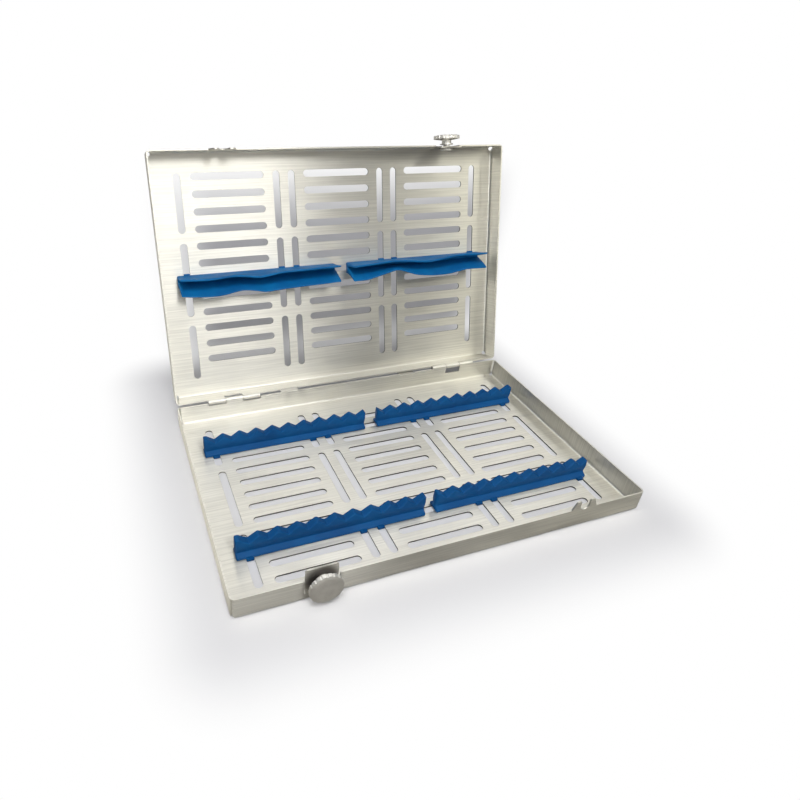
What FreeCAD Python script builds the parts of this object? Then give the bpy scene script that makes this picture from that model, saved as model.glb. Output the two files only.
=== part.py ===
import FreeCAD
import Part
import os
import re
import Sketcher
from FreeCAD import Rotation, Vector

# Instrument cassette: two folded, slotted steel halves that are the same blank, the upper one turned
# about the depth axis, with soft rails, a lid hinge and two thumb-knob latches.
# Frame: X width, Y depth (front is -Y), Z up. The origin is on the underside of the tray's floor sheet,
# midway between its sides, in the bar behind the middle row of slots, where there is steel to stand on.
# Each half is drawn round the middle of its own floor and then placed.

SIZES = (
    ("cassette_width", 280.0, "outside width of both halves"),
    ("cassette_depth", 180.0, "outside depth of both halves"),
    ("half_height", 15.5, "outside height of one half, floor to rim"),
    ("sheet_thickness", 1.0, "steel sheet"),
    ("bend_inside", 1.5, "inside radius of the folds round the floor"),
    ("corner_inside", 2.0, "inside radius of the upright corners"),
    ("rim_gap", 0.3, "gap between the two rims when closed"),
    ("open_angle", 106.0, "angle of the lid on its stop"),
    ("relief_radius", 1.6, "relief hole where three folds meet"),
    ("relief_inset", 2.0, "relief hole centre to the outer faces"),
    ("seam_width", 0.3, "slit between two walls at a corner"),
    ("row_pitch", 12.1, "spacing of the slot rows"),
    ("row_count", 13, "slot rows"),
    ("column_pitch", 84.2, "spacing of the three slot columns"),
    ("column_count", 3, "slot columns"),
    ("slot_width", 5.2, "width of every slot"),
    ("slot_length", 53.4, "length of a cross slot"),
    ("upright_offset", 36.2, "column centre to the front-to-back slots beside it"),
    ("long_slot_rows", 2, "rows from the middle to the end of a middle upright slot"),
    ("latch_inset", 51.0, "latch centre to the outer side"),
    ("tab_width", 19.4, "raised latch tab, also the foot of the horns"),
    ("tab_rise", 6.7, "latch tab above the rim"),
    ("tab_gap", 0.25, "set-in tab to the other half's horns"),
    ("tab_corner", 1.5, "rounding of the tab's corners"),
    ("slit_width", 0.8, "slit beside the tab"),
    ("recess_floor", 5.5, "height where the tab leaves the wall"),
    ("joggle_height", 2.0, "height over which the tab is set in"),
    ("joggle_lag", 0.33, "bends on the tab's inner face below those on its outer face"),
    ("horn_rise", 6.5, "horns above the rim"),
    ("horn_tip_width", 13.8, "over both horn tips"),
    ("horn_rounding", 1.2, "rounding of the horn tips"),
    ("notch_width", 7.2, "notch between the horns"),
    ("notch_drop", 1.2, "bottom of the notch below the rim"),
    ("notch_flat", 0.2, "flat left in the round bottom of the notch"),
    ("stud_radius", 2.4, "latch stud"),
    ("stud_clearance", 0.08, "stud in the knob, washer and tab"),
    ("stud_head_radius", 4.8, "stud head inside the wall"),
    ("stud_head_height", 1.6, "stud head"),
    ("washer_radius", 5.0, "clamp washer"),
    ("washer_thickness", 0.8, "clamp washer"),
    ("clamp_gap", 0.4, "washer to the horns before they are clamped"),
    ("neck_radius", 3.6, "neck of the thumb knob"),
    ("neck_length", 2.5, "neck of the thumb knob"),
    ("cone_length", 1.0, "sloped underside of the thumb knob"),
    ("knob_radius", 10.0, "thumb knob"),
    ("knob_rim", 2.2, "rim of the thumb knob"),
    ("dome_height", 0.7, "domed face of the thumb knob"),
    ("dome_shoulder", 1.6, "sloped edge of the domed face"),
    ("dome_crown", 0.24, "domed face above its sloped edge"),
    ("dome_flat", 3.3, "radius of the flat middle of the domed face"),
    ("flute_count", 18, "flutes round the rim of the thumb knob"),
    ("flute_radius", 0.9, "flute"),
    ("flute_depth", 0.4, "flute"),
    ("knob_skin", 1.3, "steel left in front of the knob's blind bore"),
    ("stud_tip_gap", 0.7, "stud tip to the end of the bore"),
    ("pin_radius", 0.75, "hinge pin"),
    ("pin_clearance", 0.05, "hinge pin in its knuckles, on the radius"),
    ("knuckle_length", 13.0, "one rolled knuckle"),
    ("knuckle_gap", 0.5, "gap between knuckles"),
    ("roll_sweep", 290.0, "angle round the pin that a knuckle is rolled"),
    ("hinge_inset", 43.5, "hinge centre to the outer side"),
    ("deep_notch", 6.0, "notch behind the single knuckle"),
    ("shallow_notch", 2.4, "notch behind the outer knuckles"),
    ("stop_step", 44.5, "stop ear to the hinge beside it, centre to centre"),
    ("stop_width", 14.0, "stop ear"),
    ("stop_drop", 0.9, "stop ear below the rim"),
    ("stop_clearance", 0.1, "stop ear to the open half"),
    ("rail_rows", 4, "slot rows from the middle to a rail"),
    ("rail_gap", 10.6, "gap between the left and right rails and strips"),
    ("groove_pitch", 12.1, "spacing of the instrument grooves"),
    ("groove_count", 10, "grooves on one rail"),
    ("groove_depth", 4.2, "groove"),
    ("groove_land", 1.0, "flat left between two grooves"),
    ("soft_gap", 0.3, "soft part to the steel that carries it"),
    ("foot_width", 8.0, "foot of a rail"),
    ("foot_height", 1.7, "foot of a rail"),
    ("foot_edge", 1.2, "upright edge of a rail's foot"),
    ("waist_width", 3.8, "waist of a rail"),
    ("waist_rise", 1.0, "waist of a rail"),
    ("shoulder_width", 6.0, "widest part of a rail's head"),
    ("shoulder_rise", 1.8, "waist to the widest part"),
    ("crest_width", 4.6, "top of a rail's head"),
    ("plug_length", 11.0, "plug through a slot, along the slot"),
    ("plug_recess", 0.2, "plug's end short of the sheet's outer face"),
    ("strip_base_width", 9.4, "base of a lid strip"),
    ("strip_base_height", 3.0, "base of a lid strip, to the root of its groove"),
    ("front_lip_reach", 18.0, "front lip, from the lid's inner face"),
    ("front_lip_lean", 0.9, "front lip tip past the base"),
    ("rear_lip_reach", 16.8, "rear lip, from the lid's inner face"),
    ("rear_lip_lean", 4.7, "rear lip tip past the base"),
    ("lip_tip", 1.7, "thickness of a lip at its tip"),
    ("strip_plug_length", 8.0, "lid strip plug, along the slot"),
)

NAMES = {name for name, _, _ in SIZES}
FAILED_STATES = ("Invalid", "Error")
TOUCH = 1e-6

doc = FreeCAD.newDocument("InstrumentCassette")
sheet = doc.addObject("Spreadsheet::Sheet", "Sizes")
for row, (size_name, amount, meaning) in enumerate(SIZES, start=1):
    sheet.set(f"A{row}", size_name)
    sheet.set(f"B{row}", str(amount))
    sheet.set(f"C{row}", meaning)
    sheet.setAlias(f"B{row}", size_name)
doc.recompute()

# Lengths that follow from the sizes, as text for expressions
HINGE_OUT = "(pin_radius + pin_clearance)"
HINGE_X = "(cassette_width / 2 - hinge_inset)"
AXIS_Y = f"(cassette_depth / 2 + {HINGE_OUT})"
AXIS_Z = "(half_height + rim_gap / 2)"
STUD_Z = "(half_height + rim_gap + notch_drop - notch_width / 2)"
TAB_SET_IN = "(sheet_thickness + tab_gap)"
LATCH_OUT = "(cassette_width / 2 - latch_inset)"
LATCH_X = f"(-{LATCH_OUT})"
# Cuts start one thickness outside the sheet and come out one thickness past it
THROUGH = "(3 * sheet_thickness)"
KNUCKLE_STEP = "(knuckle_length + knuckle_gap)"
STOP_LENGTH = (
    f"({HINGE_OUT} - ({HINGE_OUT} - stop_clearance + (stop_drop + rim_gap / 2) * sin(open_angle * 1deg))"
    " / cos(open_angle * 1deg))"
)
FLOOR_MIDDLE = "(-row_pitch / 2)"
TRAY_PLACE = f"placement(vector(0; {FLOOR_MIDDLE}; 0); rotation(vector(0; 0; 1); 0))"
LID_TURN = "rotation(vector(1; 0; 0); -open_angle) * rotation(vector(0; 1; 0); 180)"
OPENED = "(open_angle * 1deg)"
LID_BASE = (
    f"vector(0; {FLOOR_MIDDLE} + {AXIS_Y} - {AXIS_Y} * cos({OPENED}) + {AXIS_Z} * sin({OPENED});"
    f" {AXIS_Z} + {AXIS_Y} * sin({OPENED}) + {AXIS_Z} * cos({OPENED}))"
)
LID_PLACE = f"placement({LID_BASE}; {LID_TURN})"

AXIS_ROTATIONS = {
    "x": Rotation(Vector(0, 1, 0), 90),
    "y": Rotation(Vector(1, 0, 0), -90),
    "z": Rotation(),
}


def sized(text):
    """Points every size name in an expression at the sheet."""
    return re.sub(r"[a-z_]+", lambda word: "Sizes." + word[0] if word[0] in NAMES else word[0], text)


def bind(thing, prop, text):
    thing.setExpression(prop, sized(text))


def value(text):
    """The number an expression has now, for the rough shape of a sketch."""
    return float(sheet.evalExpression(sized(text)))


def put(thing, place):
    bind(thing, "Placement", place)


def box(name, low, span):
    thing = doc.addObject("Part::Box", name)
    for prop, text in zip(("Length", "Width", "Height"), span):
        bind(thing, prop, text)
    for letter, text in zip("xyz", low):
        bind(thing, f"Placement.Base.{letter}", text)
    return thing


def cylinder(name, axis, base, radius, length):
    thing = doc.addObject("Part::Cylinder", name)
    thing.Placement.Rotation = AXIS_ROTATIONS[axis]
    bind(thing, "Radius", radius)
    bind(thing, "Height", length)
    for letter, text in zip("xyz", base):
        bind(thing, f"Placement.Base.{letter}", text)
    return thing


def fused(name, things):
    thing = doc.addObject("Part::MultiFuse", name)
    thing.Shapes = things
    thing.Refine = True
    return thing


def cut(name, base, tool):
    thing = doc.addObject("Part::Cut", name)
    thing.Base = base
    thing.Tool = tool
    thing.Refine = True
    return thing


def body_named(name):
    return doc.addObject("PartDesign::Body", name)


def sketch_on(body, name, plane, offset="0"):
    """A sketch on one of the body's own planes, moved along the plane's normal."""
    sketch = body.newObject("Sketcher::SketchObject", name)
    carrier = [item for item in body.Origin.OriginFeatures if item.Role == plane][0]
    sketch.AttachmentSupport = [(carrier, "")]
    sketch.MapMode = "FlatFace"
    bind(sketch, "AttachmentOffset.Base.z", offset)
    return sketch


def fix_point(sketch, geometry, end, across, along):
    """Holds a point of the sketch at two expressions from the sketch's origin."""
    for kind, text in (("DistanceX", across), ("DistanceY", along)):
        index = sketch.addConstraint(Sketcher.Constraint(kind, -1, 1, geometry, end, value(text)))
        bind(sketch, f"Constraints[{index}]", text)


def outline(sketch, points):
    """A closed outline of straight lines through points given as expressions."""
    count = len(points)
    first = sketch.GeometryCount
    spots = [Vector(value(across), value(along), 0) for across, along in points]
    for index, spot in enumerate(spots):
        sketch.addGeometry(Part.LineSegment(spot, spots[(index + 1) % count]), False)
    for index in range(count):
        following = first + (index + 1) % count
        sketch.addConstraint(Sketcher.Constraint("Coincident", first + index, 2, following, 1))
    for index, (across, along) in enumerate(points):
        fix_point(sketch, first + index, 1, across, along)


def rectangle(sketch, low_x, low_y, high_x, high_y):
    outline(sketch, ((low_x, low_y), (high_x, low_y), (high_x, high_y), (low_x, high_y)))


def round_slot(sketch, middle_x, middle_y, length, width, along_x):
    """A straight slot with round ends, centred on a point."""
    reach = f"({length} - {width}) / 2"
    half = value(f"{width} / 2")
    if along_x:
        ends = ((f"{middle_x} - {reach}", middle_y), (f"{middle_x} + {reach}", middle_y))
        outward = Vector(half, 0, 0)
        side = Vector(0, half, 0)
    else:
        ends = ((middle_x, f"{middle_y} - {reach}"), (middle_x, f"{middle_y} + {reach}"))
        outward = Vector(0, half, 0)
        side = Vector(-half, 0, 0)
    near, far = (Vector(value(across), value(along), 0) for across, along in ends)
    first = sketch.GeometryCount
    sketch.addGeometry(Part.Arc(near + side, near - outward, near - side), False)
    sketch.addGeometry(Part.LineSegment(near - side, far - side), False)
    sketch.addGeometry(Part.Arc(far - side, far + outward, far + side), False)
    sketch.addGeometry(Part.LineSegment(far + side, near + side), False)
    for one, one_end, two, two_end in ((0, 2, 1, 1), (1, 2, 2, 1), (2, 2, 3, 1), (3, 2, 0, 1)):
        sketch.addConstraint(Sketcher.Constraint("Tangent", first + one, one_end, first + two, two_end))
    sketch.addConstraint(Sketcher.Constraint("Equal", first, first + 2))
    index = sketch.addConstraint(Sketcher.Constraint("Radius", first, half))
    bind(sketch, f"Constraints[{index}]", f"{width} / 2")
    fix_point(sketch, first, 3, *ends[0])
    fix_point(sketch, first + 2, 3, *ends[1])


def pad(body, name, profile, length):
    feature = body.newObject("PartDesign::Pad", name)
    feature.Profile = profile
    bind(feature, "Length", length)
    return feature


def pocket(body, name, profile, length, reversed_way=False, both_ways=False):
    feature = body.newObject("PartDesign::Pocket", name)
    feature.Profile = profile
    feature.Reversed = reversed_way
    if both_ways:
        feature.SideType = "Symmetric"
    bind(feature, "Length", length)
    return feature


def pattern(body, name, original, first, second=None):
    """A linear pattern; each direction is (sketch axis, spacing, count)."""
    feature = body.newObject("PartDesign::LinearPattern", name)
    feature.Originals = [original]
    for tail, direction in (("", first), ("2", second)):
        if direction:
            axis, spacing, count = direction
            setattr(feature, "Direction" + tail, axis)
            setattr(feature, "Mode" + tail, "Spacing")
            bind(feature, "Offset" + tail, spacing)
            bind(feature, "Occurrences" + tail, count)
    body.Tip = feature
    return feature


def rounded(body, name, base, radius, wanted):
    """Fillets the edges of a feature that the test picks."""
    doc.recompute()
    picked = [f"Edge{index}" for index, edge in enumerate(base.Shape.Edges, start=1) if wanted(edge)]
    feature = body.newObject("PartDesign::Fillet", name)
    feature.Base = (base, picked)
    bind(feature, "Radius", radius)
    return feature


def is_upright(edge):
    bounds = edge.BoundBox
    return bounds.XLength < TOUCH and bounds.YLength < TOUCH


def lies_at(level):
    return lambda edge: abs(edge.BoundBox.ZMin - level) < TOUCH and edge.BoundBox.ZLength < TOUCH


def slotted_tray(name):
    """The floor with its four walls and all its slots."""
    body = body_named(name)
    half_x, half_y = "cassette_width / 2", "cassette_depth / 2"
    outer = sketch_on(body, name + "_outline", "XY_Plane")
    rectangle(outer, f"-{half_x}", f"-{half_y}", half_x, half_y)
    block = pad(body, name + "_block", outer, "half_height")
    corners = rounded(body, name + "_corners", block, "corner_inside + sheet_thickness", is_upright)
    folds = rounded(body, name + "_folds", corners, "bend_inside + sheet_thickness", lies_at(0))

    inner = sketch_on(body, name + "_inner_outline", "XY_Plane", "sheet_thickness")
    inner_x, inner_y = f"({half_x} - sheet_thickness)", f"({half_y} - sheet_thickness)"
    rectangle(inner, f"-{inner_x}", f"-{inner_y}", inner_x, inner_y)
    cavity = pocket(body, name + "_cavity", inner, "half_height", reversed_way=True)
    corner_x, corner_y, floor_top = value(inner_x), value(inner_y), value("sheet_thickness")

    def inner_upright(edge):
        centre = edge.BoundBox.Center
        return (is_upright(edge) and abs(abs(centre.x) - corner_x) < TOUCH
                and abs(abs(centre.y) - corner_y) < TOUCH)

    inner_corners = rounded(body, name + "_inner_corners", cavity, "corner_inside", inner_upright)
    inner_folds = rounded(body, name + "_inner_folds", inner_corners, "bend_inside", lies_at(floor_top))

    cross = sketch_on(body, name + "_cross_slot", "XY_Plane")
    round_slot(cross, "-column_pitch", "-row_pitch * (row_count - 1) / 2", "slot_length", "slot_width", True)
    cross_cut = pocket(body, name + "_cross_cut", cross, "2 * sheet_thickness", reversed_way=True)
    rows = pattern(body, name + "_rows", cross_cut, ((cross, ["H_Axis"]), "column_pitch", "column_count"),
                   ((cross, ["V_Axis"]), "row_pitch", "row_count"))

    upright = sketch_on(body, name + "_upright_slots", "XY_Plane")
    column = "-column_pitch - upright_offset"
    outer_rows = "((row_count - 1) / 2 - long_slot_rows - 1)"
    outer_middle = f"row_pitch * ((row_count - 1) / 2 + long_slot_rows + 1) / 2"
    round_slot(upright, column, "0", "2 * long_slot_rows * row_pitch + slot_width", "slot_width", False)
    for sign in ("-", ""):
        round_slot(upright, column, f"{sign}{outer_middle}", f"{outer_rows} * row_pitch + slot_width",
                   "slot_width", False)
    upright_cut = pocket(body, name + "_upright_cut", upright, "2 * sheet_thickness", reversed_way=True)
    pairs = body.newObject("PartDesign::MultiTransform", name + "_upright_pattern")
    pairs.Originals = [upright_cut]
    steps = []
    for label, spacing, count in (("pair", "2 * upright_offset", "2"),
                                  ("columns", "column_pitch", "column_count")):
        step = body.newObject("PartDesign::LinearPattern", f"{name}_{label}")
        step.Direction = (upright, ["H_Axis"])
        step.Mode = "Spacing"
        bind(step, "Offset", spacing)
        bind(step, "Occurrences", count)
        steps.append(step)
    pairs.Transformations = steps
    body.Tip = pairs
    doc.recompute()
    if not body.Shape.Volume < rows.Shape.Volume < inner_folds.Shape.Volume < folds.Shape.Volume:
        raise RuntimeError(f"{name}: a slot or the cavity cut nothing")
    return body


def latch_tab(name):
    """The raised tab, set in behind the wall's plane, that carries the stud."""
    body = body_named(name)
    profile = sketch_on(body, name + "_profile", "YZ_Plane", f"{LATCH_X} - tab_width / 2")
    front = "-cassette_depth / 2"
    joggle_top = "(recess_floor + joggle_height)"
    top = "(half_height + tab_rise)"
    outline(profile, (
        (front, "recess_floor - sheet_thickness"),
        (f"{front} + sheet_thickness", "recess_floor - sheet_thickness"),
        (f"{front} + sheet_thickness", "recess_floor - joggle_lag"),
        (f"{front} + {TAB_SET_IN} + sheet_thickness", f"{joggle_top} - joggle_lag"),
        (f"{front} + {TAB_SET_IN} + sheet_thickness", top),
        (f"{front} + {TAB_SET_IN}", top),
        (f"{front} + {TAB_SET_IN}", joggle_top),
        (front, "recess_floor"),
    ))
    strip = pad(body, name + "_strip", profile, "tab_width")
    at_top = lies_at(value(top))

    def top_corner(edge):
        return at_top(edge) and edge.BoundBox.XLength < TOUCH

    corners = rounded(body, name + "_corners", strip, "tab_corner", top_corner)
    body.Tip = corners
    hole = cylinder(name + "_hole", "y", (LATCH_X, f"{front} - sheet_thickness", STUD_Z),
                    "stud_radius + stud_clearance", f"{TAB_SET_IN} + {THROUGH}")
    return cut(name + "_drilled", body, hole)


def latch_horns(name):
    """Two horns in the wall's plane, with the notch that takes the other half's stud."""
    body = body_named(name)
    profile = sketch_on(body, name + "_profile", "XZ_Plane", "cassette_depth / 2 - sheet_thickness")
    tip = "(half_height + horn_rise)"
    foot = "(half_height - 2 * sheet_thickness)"
    floor = "(half_height - notch_drop)"
    outline(profile, (
        (f"{LATCH_OUT} - tab_width / 2", foot),
        (f"{LATCH_OUT} + tab_width / 2", foot),
        (f"{LATCH_OUT} + tab_width / 2", "half_height"),
        (f"{LATCH_OUT} + horn_tip_width / 2", tip),
        (f"{LATCH_OUT} + notch_width / 2", tip),
        (f"{LATCH_OUT} + notch_width / 2", floor),
        (f"{LATCH_OUT} - notch_width / 2", floor),
        (f"{LATCH_OUT} - notch_width / 2", tip),
        (f"{LATCH_OUT} - horn_tip_width / 2", tip),
        (f"{LATCH_OUT} - tab_width / 2", "half_height"),
    ))
    plate = pad(body, name + "_plate", profile, "sheet_thickness")
    thickness = value("sheet_thickness")
    at_tips, at_floor = lies_at(value(tip)), lies_at(value(floor))

    def across_plate(edge):
        return edge.BoundBox.XLength < TOUCH and abs(edge.BoundBox.YLength - thickness) < TOUCH

    tips = rounded(body, name + "_tips", plate, "horn_rounding",
                   lambda edge: across_plate(edge) and at_tips(edge))
    bottom = rounded(body, name + "_notch_bottom", tips, "(notch_width - notch_flat) / 2",
                     lambda edge: across_plate(edge) and at_floor(edge))
    body.Tip = bottom
    return body


def knuckle_middle(side, step):
    return f"({side} * {HINGE_X} + {step} * {KNUCKLE_STEP})"


def knuckle(name, middle):
    """One knuckle, rolled outward from the rear wall's edge round the pin."""
    outer = doc.addObject("Part::Cylinder", name + "_roll")
    start, sweep = Vector(0, -1, 0), Vector(0, 0, 1)
    outer.Placement.Rotation = Rotation(start, sweep, start.cross(sweep), "XYZ")
    bind(outer, "Angle", "roll_sweep")
    bind(outer, "Radius", f"{HINGE_OUT} + sheet_thickness")
    bind(outer, "Height", "knuckle_length")
    for letter, text in zip("xyz", (f"{middle} + knuckle_length / 2", AXIS_Y, AXIS_Z)):
        bind(outer, f"Placement.Base.{letter}", text)
    bore = cylinder(name + "_bore", "x", (f"{middle} - knuckle_length / 2", AXIS_Y, AXIS_Z),
                    HINGE_OUT, "knuckle_length")
    roll = cut(name, outer, bore)
    riser = box(name + "_riser", (f"{middle} - knuckle_length / 2", "cassette_depth / 2 - sheet_thickness",
                                  "half_height - sheet_thickness"),
                ("knuckle_length", "sheet_thickness", "sheet_thickness + rim_gap / 2"))
    return [roll, riser]


def wall_notch(name, middle, depth):
    """Room in the rear wall for a knuckle of the other half."""
    return box(name, (f"{middle} - knuckle_length / 2 - knuckle_gap",
                      "cassette_depth / 2 - 2 * sheet_thickness", f"half_height - {depth}"),
               ("knuckle_length + 2 * knuckle_gap", THROUGH, f"{depth} + sheet_thickness"))


def corner_cuts(name):
    """Relief holes where three folds meet, and the seams above them."""
    tools = []
    for sign_x, sign_y, turn in ((1, 1, 45), (-1, 1, 135), (-1, -1, 225), (1, -1, 315)):
        centre_x = f"{sign_x} * (cassette_width / 2 - relief_inset)"
        centre_y = f"{sign_y} * (cassette_depth / 2 - relief_inset)"
        label = f"{name}_relief_{turn}"
        tools.append(cylinder(label, "z", (centre_x, centre_y, "-sheet_thickness"), "relief_radius",
                              "2 * sheet_thickness + bend_inside + relief_radius"))
        seam = box(f"{name}_seam_{turn}", (f"{centre_x} + seam_width / 2 * sin({turn}deg)",
                                           f"{centre_y} - seam_width / 2 * cos({turn}deg)",
                                           "sheet_thickness"),
                   ("relief_inset * 2", "seam_width", "half_height"))
        seam.Placement.Rotation = Rotation(Vector(0, 0, 1), turn)
        tools.append(seam)
    return tools


def stop_ear(name):
    """The ear bent out of the rear wall's edge, on which the open half rests, and its notch."""
    left = f"{HINGE_X} - stop_step - stop_width / 2"
    rear = "cassette_depth / 2"
    ear = box(name, (left, f"{rear} - sheet_thickness", "half_height - stop_drop - sheet_thickness"),
              ("stop_width", f"sheet_thickness + {STOP_LENGTH}", "sheet_thickness"))
    slot = box(name + "_notch", (left, f"{rear} - 2 * sheet_thickness", "half_height - stop_drop"),
               ("stop_width", THROUGH, "stop_drop + sheet_thickness"))
    return ear, slot


def steel_half(name, place):
    """One folded half: floor, walls, latch tab, horns, hinge knuckles and stop ear."""
    recess = box(name + "_recess", (f"{LATCH_X} - tab_width / 2 - slit_width",
                                    "-cassette_depth / 2 - sheet_thickness", "recess_floor"),
                 ("tab_width + 2 * slit_width", THROUGH, "half_height"))
    mouth = box(name + "_mouth", (f"{LATCH_OUT} - notch_width / 2", "-cassette_depth / 2 - sheet_thickness",
                                  "half_height - notch_drop"),
                ("notch_width", THROUGH, "notch_drop + sheet_thickness"))
    ear, ear_notch = stop_ear(name + "_ear")
    tools = [recess, mouth, ear_notch] + corner_cuts(name)
    additions = [latch_tab(name + "_tab"), latch_horns(name + "_horns"), ear]
    for side, own, others, depth in ((-1, (0,), (-1, 1), "shallow_notch"), (1, (-1, 1), (0,), "deep_notch")):
        for step in own:
            additions += knuckle(f"{name}_knuckle_{side}_{step}", knuckle_middle(side, step))
        for step in others:
            tools.append(wall_notch(f"{name}_notch_{side}_{step}", knuckle_middle(side, step), depth))
    trimmed = cut(name + "_trimmed", slotted_tray(name + "_sheet"), fused(name + "_cuts", tools))
    half = fused(name, [trimmed] + additions)
    put(half, place)
    return half


def plug_places(side):
    """The front-to-back slots that a left (-1) or right (1) rail crosses."""
    return tuple(f"{side} * {reach}" for reach in (
        "upright_offset", "(column_pitch - upright_offset)", "(column_pitch + upright_offset)"))


def add_plugs(body, name, side, row, length):
    """Plugs that grip the front-to-back slots, flush with the sheet's outer face."""
    half = "(slot_width / 2 - soft_gap)"
    plugs = sketch_on(body, name + "_plug_outline", "XY_Plane", "plug_recess")
    for middle in plug_places(side):
        rectangle(plugs, f"{middle} - {half}", f"{row} - {length} / 2", f"{middle} + {half}",
                  f"{row} + {length} / 2")
    pad(body, name + "_plugs", plugs, "sheet_thickness + soft_gap - plug_recess + foot_edge")


def rail(name, side, row_sign):
    """A grooved soft rail on the tray's floor."""
    body = body_named(name)
    length = "groove_pitch * groove_count"
    start = "rail_gap / 2" if side > 0 else f"-rail_gap / 2 - {length}"
    row = f"({row_sign} * rail_rows * row_pitch)"
    base = "(sheet_thickness + soft_gap)"
    profile = sketch_on(body, name + "_profile", "YZ_Plane", start)
    right = (
        ("foot_width / 2", base),
        ("foot_width / 2", f"{base} + foot_edge"),
        ("waist_width / 2", f"{base} + foot_height"),
        ("waist_width / 2", f"{base} + foot_height + waist_rise"),
        ("shoulder_width / 2", f"{base} + foot_height + waist_rise + shoulder_rise"),
        ("crest_width / 2", "half_height"),
    )
    points = [(f"{row} + {out}", level) for out, level in right]
    points += [(f"{row} - {out}", level) for out, level in reversed(right)]
    outline(profile, points)
    bar = pad(body, name + "_bar", profile, length)
    groove = sketch_on(body, name + "_groove", "XZ_Plane")
    first = f"({start} + groove_pitch / 2)"
    mouth = "(groove_pitch - groove_land) / 2"
    above = "half_height + sheet_thickness"
    outline(groove, (
        (first, "half_height - groove_depth"),
        (f"{first} + {mouth}", "half_height"),
        (f"{first} + {mouth}", above),
        (f"{first} - {mouth}", above),
        (f"{first} - {mouth}", "half_height"),
    ))
    groove_cut = pocket(body, name + "_groove_cut", groove, "2 * cassette_depth", both_ways=True)
    along = ((groove, ["H_Axis"]), "groove_pitch", "groove_count")
    grooves = pattern(body, name + "_grooves", groove_cut, along)
    doc.recompute()
    if not grooves.Shape.Volume < groove_cut.Shape.Volume < bar.Shape.Volume:
        raise RuntimeError(f"{name}: a groove cut nothing")
    add_plugs(body, name, side, row, "plug_length")
    put(body, TRAY_PLACE)
    return body


def lid_strip(name, side):
    """A soft V strip on the lid, which holds the instruments down."""
    body = body_named(name)
    length = "groove_pitch * groove_count"
    start = "rail_gap / 2" if side > 0 else f"-rail_gap / 2 - {length}"
    inner_face = "sheet_thickness"
    base = f"({inner_face} + soft_gap)"
    root = f"({inner_face} + strip_base_height)"
    half = "strip_base_width / 2"
    profile = sketch_on(body, name + "_profile", "YZ_Plane", start)
    outline(profile, (
        (f"-{half}", base),
        (half, base),
        (half, root),
        (f"{half} + rear_lip_lean", f"{inner_face} + rear_lip_reach"),
        (f"{half} + rear_lip_lean - lip_tip", f"{inner_face} + rear_lip_reach"),
        ("0", root),
        (f"-{half} - front_lip_lean + lip_tip", f"{inner_face} + front_lip_reach"),
        (f"-{half} - front_lip_lean", f"{inner_face} + front_lip_reach"),
        (f"-{half}", root),
    ))
    pad(body, name + "_bar", profile, length)
    add_plugs(body, name, side, "0", "strip_plug_length")
    put(body, LID_PLACE)
    return body


def hinge_pin(name, side):
    ends = "(3 * knuckle_length + 2 * knuckle_gap)"
    return cylinder(name, "x", (f"{side} * {HINGE_X} - {ends} / 2", f"{FLOOR_MIDDLE} + {AXIS_Y}", AXIS_Z),
                    "pin_radius", ends)


def latch_stud(name, place):
    """The stud through the tab, with its head inside."""
    inside = f"-cassette_depth / 2 + {TAB_SET_IN} + sheet_thickness"
    knob_depth = "(neck_length + cone_length + knob_rim + dome_height - knob_skin - stud_tip_gap)"
    reach = f"({TAB_SET_IN} + sheet_thickness + clamp_gap + washer_thickness + {knob_depth})"
    shank = cylinder(name + "_shank", "y", (LATCH_X, f"{inside} - {reach}", STUD_Z), "stud_radius", reach)
    head = cylinder(name + "_head", "y", (LATCH_X, inside, STUD_Z), "stud_head_radius", "stud_head_height")
    stud = fused(name, [shank, head])
    put(stud, place)
    return stud


def clamp_washer(name, place):
    """The washer that the knob pushes against the horns."""
    back = "-cassette_depth / 2 - clamp_gap - washer_thickness"
    disc = cylinder(name + "_disc", "y", (LATCH_X, back, STUD_Z), "washer_radius", "washer_thickness")
    hole = cylinder(name + "_hole", "y", (LATCH_X, f"{back} - washer_thickness", STUD_Z),
                    "stud_radius + stud_clearance", "3 * washer_thickness")
    washer = cut(name, disc, hole)
    put(washer, place)
    return washer


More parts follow.
